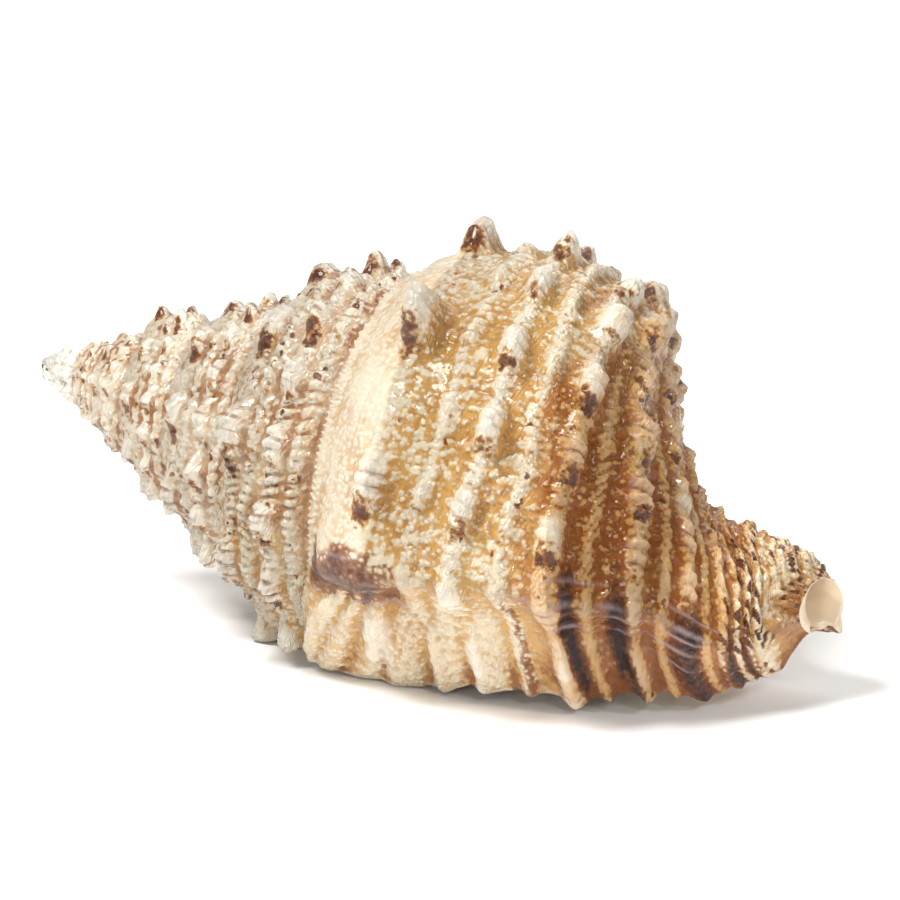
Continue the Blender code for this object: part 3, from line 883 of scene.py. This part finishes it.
SETTLE = 0.5            # how softly the lowest points settle on to the floor


def build_shell():
    net, over_opening = outside()
    points = np.array(net.points)
    used = np.unique(np.concatenate([np.array(f) for f in net.faces]))
    new = np.full(len(points), -1)
    new[used] = np.arange(len(used))
    faces = [tuple(new[i] for i in f) for f in net.faces]
    shift = -np.array(ORIGIN) * MM
    world = to_world(points[used]) + shift
    soft = SETTLE * MM
    world[:, 2] = soft * np.logaddexp(0.0, world[:, 2] / soft)
    inner = np.zeros(len(faces))
    inner[over_opening:] = 1.0
    shell = mesh_object("frog_shell", world, outward(world, faces),
                        np.array(net.places)[used], inner)
    cutters = []
    for name, rings in (("opening", hole_rings()), ("trough", trough_rings())):
        p, f = tube(rings)
        p = to_world(p)
        cutters.append(mesh_object(name, p + shift, outward(p, f),
                                   np.full((len(p), 2), 9.0), np.ones(len(f))))
    hollowed(shell, cutters)
    return shell


# -------------------- colour masks

def corner_places(mesh):
    """Place and kind of every face corner; on a suture the corner belongs to its own turn."""
    place = read(mesh.uv_layers["place"].data, "uv", 2).reshape(-1, 2)
    kind = read(mesh.uv_layers["kind"].data, "uv", 2)[::2]
    starts = read(mesh.polygons, "loop_start", 1, int)
    totals = read(mesh.polygons, "loop_total", 1, int)
    farthest = np.repeat(np.maximum.reduceat(place[:, 1], starts), totals)
    on_seam = (place[:, 1] < 0.001) & (farthest > 0.5) & (kind < 0.5)
    place[on_seam] += np.array((-1.0, 1.0))
    return place, kind


# Dark stripes on the lip: place across, half-width, how dark.
LIP_STRIPES = (
    (0.84, 0.022, 0.45), (1.060, 0.040, 1.0), (1.275, 0.050, 1.0),
    (1.575, 0.048, 1.0), (1.735, 0.038, 0.9), (1.830, 0.040, 0.7),
)
# Pale growth lines: turns past the ridge, half-width in turns.
GROWTH_LINES = (
    (-0.014, 0.0012), (0.003, 0.0026), (0.012, 0.0012), (0.027, 0.0024), (0.049, 0.0014),
)


def masks(t, s):
    """What colours each spot of the outside, 0 to 1 each, by name."""
    d = details(t, s)
    fine_relief(t, s, d)
    p = d["p"]
    spire = 1.0 - rise(t, -1.35, 0.5)
    right = ease((s - 0.73 - 0.19 * fall(t, -0.14, 0.22)) / 0.35)
    late = rise(t, -0.68, 0.25)
    canal = rise(s, 1.62, 0.20)
    cloud = noise(p, 16.0, 21)
    warm = 0.30 + 0.62 * right * late * (1.0 - 0.42 * canal) + 0.12 * cloud
    plainness = smooth_band(t, s)
    warm = warm - 0.30 * plainness * (1.0 - right)
    stripes = [much * bell((s - at) / wide) for at, wide, much in LIP_STRIPES]
    deep = np.max(stripes, axis=0) * rise(t, -0.150, 0.08)
    past = past_ridge(t, s) + 0.0035 * noise(p, 22.0, 31)
    ridge = bell((past - 0.004) / 0.020) * rise(s, 0.03, 0.06)
    deep = np.maximum(deep, 0.9 * ridge * (1.0 - rise(s, 0.26, 0.30)))
    resin = bell((past - 0.010) / 0.030) * rise(s, 0.02, 0.06) * (1.0 - rise(s, 0.45, 0.3))
    warm = np.maximum(warm, 0.85 * resin)
    sunk = 1.0 - np.maximum(d["crest"], lip_rib(t, s))
    edge = bell(t / 0.026) * sunk
    glaze = np.max([bell((past - at) / wide) for at, wide in GROWTH_LINES], axis=0)
    flank = rise(s, 0.98, 0.15) * fall(t, -0.20, 0.08) * rise(t, -0.75, 0.2)
    lip = rise(past, -0.002, 0.02)
    fields = {name: d[name] for name in ("crest", "top", "mark", "grain", "spots", "seam")}
    fields.update(
        lip=lip, gap=lip * sunk, edge=edge, spire=spire, canal=canal,
        warm=np.clip(warm, 0, 1), deep=np.clip(deep, 0, 1), glaze=glaze * ease(s / 0.1),
        plain=plainness, worn=fall(t, -5.3, 0.6), flank=flank * (1.0 - canal),
    )
    return fields


SMOOTHING = 0.6         # share of a vertex's place taken from its neighbours, each round
PIT_ROUNDS = 3          # rounds that leave only the narrow pits behind
HOLLOW_ROUNDS = 14      # and those that leave the wider hollows


def hollows(mesh, rounds):
    """How far every vertex lies below its smoothed surroundings, in mm: the depth that the painted
    shade follows.
    """
    count = len(mesh.vertices)
    start = read(mesh.vertices, "co", 3).reshape(-1, 3)
    normals = read(mesh.vertex_normals, "vector", 3, np.float32)
    edges = read(mesh.edges, "vertices", 2, int)
    a, b = edges.reshape(-1, 2).T
    degree = np.bincount(edges, minlength=count)[:, None]
    moved = start.copy()
    for _ in range(rounds):
        total = np.empty_like(moved)
        for axis in range(3):
            total[:, axis] = np.bincount(a, moved[b, axis], count)
            total[:, axis] += np.bincount(b, moved[a, axis], count)
        moved = (1.0 - SMOOTHING) * moved + SMOOTHING * total / degree
    return np.sum((moved - start) * normals.reshape(-1, 3), axis=1) / MM


def write_masks(mesh):
    """Stores the masks at the vertices, and the distances along and across the whorl."""
    place, kind = corner_places(mesh)
    outer = kind < 0.5
    corners = read(mesh.loops, "vertex_index", 1, int)
    at = np.zeros((len(mesh.vertices), 2))
    at[:, 1] = 1.0
    at[corners[outer]] = place[outer]
    fields = masks(at[:, 0], at[:, 1])
    # depth in the relief, narrow and wide: the colours darken with it as painted shade
    fields["pit"] = hollows(mesh, PIT_ROUNDS)
    fields["hollow"] = hollows(mesh, HOLLOW_ROUNDS)
    for name, values in fields.items():
        data = mesh.attributes.new(name, "FLOAT", "POINT")
        data.data.foreach_set("value", values.astype(np.float32))
    flow = np.zeros((len(mesh.loops), 2))
    t = place[outer, 0]
    s = place[outer, 1]
    flow[outer, 0] = walk(t, s)
    flow[outer, 1] = across(t, s)
    layer = mesh.uv_layers.new(name="flow")
    layer.data.foreach_set("uv", flow.ravel())
    mesh.uv_layers.remove(mesh.uv_layers["place"])


# -------------------- material

NOISE_ROUGH = 0.55


class Shader:
    """Short names for the nodes of one material."""

    def __init__(self, name):
        self.mat = bpy.data.materials.new(name)
        self.mat.use_nodes = True
        self.tree = self.mat.node_tree
        self.tree.nodes.clear()

    def node(self, kind, inputs, **settings):
        made = self.tree.nodes.new(kind)
        for key, value in settings.items():
            setattr(made, key, value)
        for key, value in inputs.items():
            if isinstance(value, bpy.types.NodeSocket):
                self.tree.links.new(value, made.inputs[key])
            else:
                made.inputs[key].default_value = value
        return made

    def field(self, name):
        return self.node("ShaderNodeAttribute", {}, attribute_name=name).outputs["Fac"]

    def calc(self, operation, a, b):
        made = self.node("ShaderNodeMath", {0: a, 1: b}, operation=operation)
        return made.outputs[0]

    def times(self, a, b):
        return self.calc("MULTIPLY", a, b)

    def plus(self, a, b):
        return self.calc("ADD", a, b)

    def less(self, a, b):
        return self.calc("SUBTRACT", a, b)

    def span(self, value, low, high, out_low=0.0, out_high=1.0):
        """A smooth step from low to high."""
        inputs = {"Value": value, "From Min": low, "From Max": high,
                  "To Min": out_low, "To Max": out_high}
        made = self.node("ShaderNodeMapRange", inputs, interpolation_type="SMOOTHSTEP")
        return made.outputs["Result"]

    def blend(self, share, a, b):
        """Colour a, turning into colour b."""
        a = a if isinstance(a, bpy.types.NodeSocket) else (*a, 1.0)
        b = b if isinstance(b, bpy.types.NodeSocket) else (*b, 1.0)
        made = self.node("ShaderNodeMix", {0: share, 6: a, 7: b}, data_type="RGBA")
        return made.outputs[2]

    def uneven(self, value, noise, low, high):
        """The value, less or more by a noise."""
        return self.plus(value, self.span(noise, 0.3, 0.7, low, high))

    def layers(self, value, colour, *steps):
        """Colours laid over another, each as the value rises from low to high."""
        for low, high, share, over in steps:
            colour = self.blend(self.span(value, low, high, 0.0, share), colour, over)
        return colour

    def noise(self, vector, scale, detail=3.0):
        inputs = {"Vector": vector, "Scale": scale, "Detail": detail, "Roughness": NOISE_ROUGH}
        return self.node("ShaderNodeTexNoise", inputs).outputs["Fac"]

    def cells(self, vector, scale):
        """Distance from the nearest of many scattered points, in cells."""
        inputs = {"Vector": vector, "Scale": scale}
        return self.node("ShaderNodeTexVoronoi", inputs).outputs["Distance"]

    def stretched(self, vector, x, y, z=1.0):
        inputs = {"Vector": vector, "Scale": (x, y, z)}
        return self.node("ShaderNodeMapping", inputs).outputs["Vector"]


CREAM = (0.87, 0.745, 0.54)     # the ground colour
WHITE = (0.96, 0.915, 0.81)     # raised parts
GOLD = (0.64, 0.355, 0.095)     # hollows
HONEY = (0.72, 0.385, 0.105)    # the ground near the canal
AMBER = (0.34, 0.088, 0.006)    # hollows near the canal
PINK = (0.66, 0.385, 0.150)     # hollows on the spire
TAN = (0.50, 0.21, 0.060)       # hollows on the right flank
RUST = (0.28, 0.085, 0.016)     # the rims of dark marks
BROWN = (0.115, 0.030, 0.009)   # the dark marks
PURPLE = (0.024, 0.007, 0.007)  # the darkest stripes
LILAC = (0.56, 0.45, 0.45)      # growth lines
# OCHRE is the creases' own colour, and it also carries the painted shade in them
OCHRE = (0.40, 0.150, 0.038)    # creases between the lumps
PEACH = (0.80, 0.64, 0.45)      # the inside


def shell_material():
    k = Shader("glossy_shell")
    k.spot = k.node("ShaderNodeTexCoord", {}).outputs["Object"]
    k.flow = k.node("ShaderNodeUVMap", {}, uv_map="flow").outputs["UV"]
    kind = k.node("ShaderNodeUVMap", {}, uv_map="kind").outputs["UV"]
    k.inner = k.span(k.node("ShaderNodeSeparateXYZ", {0: kind}).outputs["X"], 0.4, 0.6)
    k.coarse = k.noise(k.spot, 90.0)
    k.fine = k.noise(k.spot, 420.0)
    k.blotchy = k.noise(k.spot, 480.0)
    k.pebbles = k.cells(k.spot, 760.0)
    for name in ("plain", "spire", "flank", "crest", "top", "worn", "warm"):
        setattr(k, name, k.field(name))
    # depth in the relief, used to paint shade into the hollows
    k.hollow = k.uneven(k.field("hollow"), k.fine, -0.12, 0.12)
    # how warm the shell is: pale towards the spire, amber towards the canal
    k.amber = k.span(k.uneven(k.warm, k.coarse, -0.16, 0.16), 0.42, 0.92)
    colour = ground_colour(k)
    for layer in (pale_parts, creases, knob_marks, dashes_and_spots, lip_stripes, growth_lines):
        colour = layer(k, colour)
    colour = k.blend(k.span(k.worn, 0.2, 0.8, 0.0, 0.85), colour, WHITE)
    colour = k.blend(k.inner, colour, PEACH)
    inputs = {"Base Color": colour, "Roughness": roughness(k), "Normal": bumps(k),
              "IOR": 1.48, "Coat Weight": 0.35, "Coat Roughness": 0.05}
    skin = k.node("ShaderNodeBsdfPrincipled", inputs)
    k.node("ShaderNodeOutputMaterial", {"Surface": skin.outputs["BSDF"]})
    return k.mat


def ground_colour(k):
    """Pale on the raised parts, and darker in the hollows, down to those between the grains: the
    shell's own gold there, deepened by painted shade.
    """
    pale = k.blend(k.amber, CREAM, HONEY)
    dark = k.blend(k.amber, GOLD, AMBER)
    dark = k.blend(k.span(k.spire, 0.0, 1.0, 0.0, 0.85), dark, PINK)
    dark = k.blend(k.span(k.flank, 0.0, 1.0, 0.0, 0.50), dark, TAN)
    # painted shade: darker the deeper the surface lies in the relief, over the shell's own gold in
    # its hollows
    low = k.span(k.hollow, -0.30, 0.62, -0.12, 0.52)
    net = k.times(k.span(k.pebbles, 0.30, 0.64), k.span(k.coarse, 0.36, 0.62, 0.38, 0.80))
    low = k.plus(low, net)
    low = k.less(low, k.span(k.field("grain"), 0.2, 0.7, 0.0, 0.30))
    low = k.less(low, k.span(k.crest, 0.35, 0.75, 0.0, 0.22))
    low = k.plus(low, k.span(k.amber, 0.0, 1.0, 0.0, 0.26))
    ropes = k.times(k.span(k.crest, 0.20, 0.60, 0.0, 0.34), k.span(k.amber, 0.1, 0.8))
    low = k.less(low, ropes)
    low = k.times(low, k.span(k.plain, 0.2, 0.75, 1.0, 0.65))
    gaps = k.span(k.field("gap"), 0.45, 1.0, 0.0, 0.42)
    low = k.plus(low, k.times(gaps, k.span(k.coarse, 0.35, 0.60, 0.35, 1.0)))
    low = k.times(low, k.span(k.spire, 0.0, 1.0, 1.0, 0.85))
    return k.blend(k.span(low, 0.05, 0.72), pale, dark)


def pale_parts(k, colour):
    """The bleached band and spire, the crests of the cords, and the knobs."""
    band = k.times(k.span(k.plain, 0.2, 0.8, 0.0, 0.25), k.span(k.field("lip"), 0.0, 1.0, 1.0, 0.2))
    spire = k.span(k.spire, 0.0, 1.0, 0.0, 0.34)
    cords = k.times(k.span(k.crest, 0.50, 0.85), k.span(k.hollow, 0.20, -0.35, 0.0, 0.45))
    cords = k.times(cords, k.span(k.amber, 0.1, 0.9, 1.0, 0.30))
    knobs = k.times(k.span(k.top, 0.30, 0.75, 0.0, 0.55), k.span(k.amber, 0.1, 0.9, 1.0, 0.25))
    for share in (band, spire, cords, knobs):
        colour = k.blend(share, colour, WHITE)
    return colour


def creases(k, colour):
    """Thin brown lines where lumps meet: the shell's own colour in the narrow pits, darkened there
    as painted shade.
    """
    # painted shade in the narrow pits, laid in the shell's own ochre
    crease = k.times(k.span(k.field("pit"), 0.03, 0.11), k.span(k.coarse, 0.42, 0.60))
    crease = k.times(crease, k.span(k.plain, 0.2, 0.9, 1.0, 0.3))
    crease = k.times(crease, k.span(k.spire, 0.0, 1.0, 0.42, 0.85))
    colour = k.blend(crease, colour, OCHRE)
    seams = k.times(k.field("seam"), k.span(k.coarse, 0.40, 0.62))
    return k.blend(k.span(seams, 0.05, 0.80, 0.0, 0.75), colour, RUST)


def knob_marks(k, colour):
    """Dark marks at the foot of the knobs."""
    field = k.field("mark")
    mark = k.uneven(field, k.blotchy, -0.42, 0.36)
    mark = k.times(mark, k.span(field, 0.05, 0.25))
    steps = (0.22, 0.48, 0.75, GOLD), (0.42, 0.66, 0.9, RUST), (0.62, 0.90, 0.90, BROWN)
    return k.layers(mark, colour, *steps)


def dashes_and_spots(k, colour):
    """Short dashes on the cords, most of them on the spire, and spots on the canal."""
    dash = k.cells(k.stretched(k.spot, 1.15, 1.15, 0.58), 400.0)
    likely = k.noise(k.spot, 150.0, 1.0)
    likely = k.plus(likely, k.span(k.spire, 0.0, 1.0, -0.045, 0.05))
    likely = k.plus(likely, k.span(k.field("canal"), 0.0, 1.0, 0.0, 0.17))
    likely = k.plus(likely, k.span(k.amber, 0.0, 1.0, 0.0, 0.04))
    likely = k.less(likely, k.span(k.plain, 0.2, 0.8, 0.0, 0.10))
    dash = k.uneven(dash, k.blotchy, -0.16, 0.22)
    dashes = k.times(k.span(dash, 0.38, 0.16), k.span(likely, 0.53, 0.60))
    dashes = k.times(dashes, k.span(k.crest, 0.20, 0.45, 0.25, 1.0))
    dashes = k.times(dashes, k.span(k.top, 0.2, 0.6, 1.0, 0.25))
    colour = k.layers(dashes, colour, (0.0, 0.5, 0.85, RUST), (0.45, 1.0, 0.85, BROWN))
    spots = k.uneven(k.field("spots"), k.fine, -0.22, 0.22)
    return k.layers(spots, colour, (0.20, 0.45, 0.7, RUST), (0.42, 0.70, 0.95, BROWN))


def lip_stripes(k, colour):
    """The dark stripes by the lip, and the rusty rim of its edge."""
    field = k.field("deep")
    deep = k.uneven(field, k.coarse, -0.20, 0.20)
    # darker still in the hollows: painted shade over the real stripes
    deep = k.plus(deep, k.span(k.hollow, -0.4, 0.4, -0.20, 0.16))
    deep = k.plus(deep, k.span(k.pebbles, 0.25, 0.60, -0.10, 0.08))
    deep = k.times(deep, k.span(field, 0.04, 0.25))
    steps = (0.12, 0.40, 0.9, RUST), (0.36, 0.66, 0.95, BROWN), (0.66, 0.98, 1.0, PURPLE)
    colour = k.layers(deep, colour, *steps)
    edge = k.uneven(k.field("edge"), k.fine, -0.30, 0.30)
    edge = k.times(k.span(edge, 0.25, 0.80, 0.0, 0.85), k.span(k.coarse, 0.38, 0.54))
    return k.blend(edge, colour, RUST)


def growth_lines(k, colour):
    """Pale growth lines past the ridge, and pale streaks on the right flank: painted highlights
    along its wrinkles.
    """
    lines = k.times(k.field("glaze"), k.span(k.coarse, 0.43, 0.60, 0.0, 0.60))
    lines = k.times(lines, k.span(k.warm, 0.3, 0.7, 0.35, 1.0))
    colour = k.blend(lines, colour, LILAC)
    # painted highlight: pale streaks where light catches the flank's wrinkles
    flank_highlights = k.span(k.noise(k.stretched(k.flow, 0.8, 0.3), 1.0, 2.0), 0.56, 0.62)
    return k.blend(k.times(flank_highlights, k.span(k.flank, 0.0, 1.0, 0.0, 0.25)), colour, CREAM)


def roughness(k):
    rough = k.span(k.fine, 0.3, 0.7, 0.08, 0.20)
    rough = k.plus(rough, k.span(k.worn, 0.0, 1.0, 0.0, 0.12))
    return k.less(rough, k.span(k.warm, 0.5, 1.0, 0.0, 0.05))


def bumps(k):
    """The finest pebbles and threads, none of them on the inside."""
    bump = k.times(k.span(k.pebbles, 0.62, 0.05), k.span(k.plain, 0.2, 0.9, 1.0, 0.45))
    bump = k.times(bump, k.span(k.top, 0.2, 0.7, 1.0, 0.30))
    threads = k.span(k.noise(k.stretched(k.flow, 1.6, 0.25), 1.0), 0.3, 0.7, 0.0, 0.45)
    bump = k.plus(bump, k.times(threads, k.span(k.plain, 0.2, 0.8, 1.0, 0.35)))
    bump = k.times(bump, k.less(1.0, k.inner))
    made = k.node("ShaderNodeBump", {"Strength": 0.95, "Distance": 0.0008, "Height": bump})
    return made.outputs["Normal"]


# -------------------- stage

CAMERA_AZ = 28.0
CAMERA_EL = 14.72
CAMERA_AWAY = 1049.0
LOOK_AT = (6.91, 0.0, 40.95)     # before the origin is moved
LENS = 200.0
SENSOR = 36.0


def direction(az, el):
    a = np.radians(az)
    e = np.radians(el)
    return Vector((np.sin(a) * np.cos(e), -np.cos(a) * np.cos(e), np.sin(e)))


def aimed(obj, place, target):
    obj.location = place
    obj.rotation_euler = (target - place).to_track_quat("-Z", "Y").to_euler()
    bpy.context.collection.objects.link(obj)


def camera():
    data = bpy.data.cameras.new("camera")
    data.lens = LENS
    data.sensor_width = SENSOR
    data.clip_end = 20.0
    obj = bpy.data.objects.new("camera", data)
    target = (Vector(LOOK_AT) - Vector(ORIGIN)) * MM
    aimed(obj, target + direction(CAMERA_AZ, CAMERA_EL) * CAMERA_AWAY * MM, target)
    bpy.context.scene.camera = obj


# Lamps: direction round and up, distance, side in metres, watts.
LAMPS = {
    "key": (-50.0, 60.0, 1.6, 0.50, 27.5),
    "glint": (44.0, 30.0, 1.6, 0.10, 3.0),
    "front": (5.0, 14.0, 1.8, 0.40, 6.5),
    "fill": (76.0, 38.0, 1.8, 0.25, 6.0),
    "back": (200.0, 50.0, 1.8, 1.2, 12.0),
}
KEY_TINT = (1.0, 0.985, 0.96)
LAMP_TARGET = (0.0, 0.0, 0.04)
ROOM_COLOUR = (1.0, 0.98, 0.95)
ROOM_LIGHT = 0.32
FLOOR_SIDE = 12.0
FLOOR_COLOURS = (0.955, 0.955, 0.955), (0.965, 0.962, 0.96)


def lamp(name, az, el, away, side, watts):
    data = bpy.data.lights.new(name, "AREA")
    data.size = side
    data.energy = watts
    obj = bpy.data.objects.new(name, data)
    target = Vector(LAMP_TARGET)
    aimed(obj, target + direction(az, el) * away, target)


def stage():
    world = bpy.data.worlds.new("room")
    bpy.context.scene.world = world
    world.use_nodes = True
    background = world.node_tree.nodes["Background"]
    background.inputs["Color"].default_value = (*ROOM_COLOUR, 1.0)
    background.inputs["Strength"].default_value = ROOM_LIGHT
    mesh = bpy.data.meshes.new("floor")
    half = FLOOR_SIDE / 2.0
    corners = [(-half, -half, 0.0), (half, -half, 0.0), (half, half, 0.0), (-half, half, 0.0)]
    mesh.from_pydata(corners, [], [(0, 1, 2, 3)])
    floor = bpy.data.objects.new("floor", mesh)
    bpy.context.collection.objects.link(floor)
    k = Shader("white_floor")
    spot = k.node("ShaderNodeTexCoord", {}).outputs["Object"]
    colour = k.blend(k.noise(spot, 8.0), *FLOOR_COLOURS)
    inputs = {"Base Color": colour, "Roughness": 0.9, "Specular IOR Level": 0.1}
    skin = k.node("ShaderNodeBsdfPrincipled", inputs)
    k.node("ShaderNodeOutputMaterial", {"Surface": skin.outputs["BSDF"]})
    mesh.materials.append(k.mat)
    for name, numbers in LAMPS.items():
        lamp(name, *numbers)
    bpy.data.lights["key"].color = KEY_TINT


# -------------------- scene

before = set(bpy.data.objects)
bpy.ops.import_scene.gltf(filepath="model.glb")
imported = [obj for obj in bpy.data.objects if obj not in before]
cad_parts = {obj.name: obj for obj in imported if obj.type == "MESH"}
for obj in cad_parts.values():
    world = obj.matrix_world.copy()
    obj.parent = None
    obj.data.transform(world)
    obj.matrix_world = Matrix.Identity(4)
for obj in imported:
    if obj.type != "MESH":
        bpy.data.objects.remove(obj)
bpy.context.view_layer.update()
shell = build_shell()
write_masks(shell.data)
shell.data.shade_smooth()
shell.data.materials.clear()
shell.data.materials.append(shell_material())
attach(shell, "root")
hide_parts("shell")
stage()
camera()
bpy.context.scene.view_settings.view_transform = "Standard"
